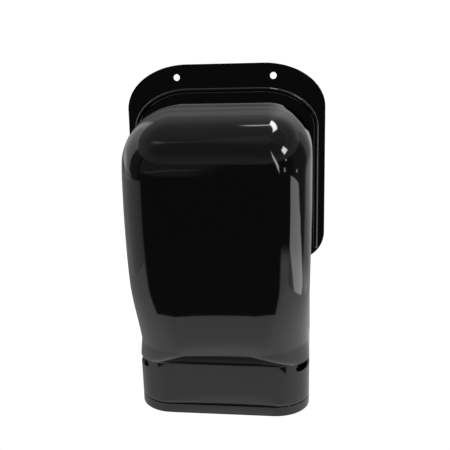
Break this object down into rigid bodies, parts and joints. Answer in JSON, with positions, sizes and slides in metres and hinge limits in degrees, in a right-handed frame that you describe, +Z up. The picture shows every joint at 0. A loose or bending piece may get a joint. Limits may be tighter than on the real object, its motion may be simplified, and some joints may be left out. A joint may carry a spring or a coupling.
{
  "type": "hooded vent cover",
  "caption": "Glossy black vent cover: a flanged base with a duct bore, a push-on hood that turns the air down, a backdraught damper and a pull-out insect screen.",
  "frame": {"origin": "on the axis of the duct bore, in the plane of the flange's back face", "axes": "+Z up, +Y along the bore into the wall, +X to the right seen from the front; the hood faces -Y"},
  "size_m": [0.15, 0.09, 0.2546],
  "materials": {
    "black_gloss": "high gloss moulded ABS",
    "black_matte": "satin moulded plastic",
    "foam": "closed-cell foam",
    "rubber": "soft rubber",
    "mesh_steel": "woven stainless wire",
    "steel": "zinc-plated steel",
    "nylon": "natural nylon"
  },
  "bodies": {
    "base": {"base_flange": "black_gloss", "flange_gasket": "foam", "cover_seal": "rubber", "spindle_bush_left": "nylon", "spindle_bush_right": "nylon", "button_spring_left": "steel", "button_spring_right": "steel"},
    "cover": {"hood_cover": "black_gloss"},
    "cartridge": {"outlet_rim": "black_gloss", "screen_frame": "black_matte", "insect_mesh": "mesh_steel", "screen_screws": "steel"},
    "damper": {"damper_flap": "black_matte", "damper_seal": "foam", "damper_spindle": "steel", "spindle_clip_left": "steel", "spindle_clip_right": "steel"},
    "button_left": {"release_button_left": "black_matte"},
    "button_right": {"release_button_right": "black_matte"}
  },
  "joints": [
    {"name": "cover_pull_off", "type": "slide", "parent": "base", "child": "cover", "axis": [0, -1, 0], "range_m": [0, 0.1]},
    {"name": "screen_pull", "type": "slide", "parent": "cover", "child": "cartridge", "axis": [0, 0, -1], "range_m": [0, 0.035]},
    {"name": "damper_swing", "type": "hinge", "parent": "base", "child": "damper", "pos_m": [0, -0.008, 0.056], "axis": [-1, 0, 0], "range_deg": [0, 34]},
    {"name": "button_left_press", "type": "slide", "parent": "base", "child": "button_left", "axis": [1, 0, 0], "range_m": [0, 0.003], "stiffness_N_per_m": 500, "deforming": ["button_spring_left"]},
    {"name": "button_right_press", "type": "slide", "parent": "base", "child": "button_right", "axis": [-1, 0, 0], "range_m": [0, 0.003], "stiffness_N_per_m": 500, "deforming": ["button_spring_right"]}
  ]
}
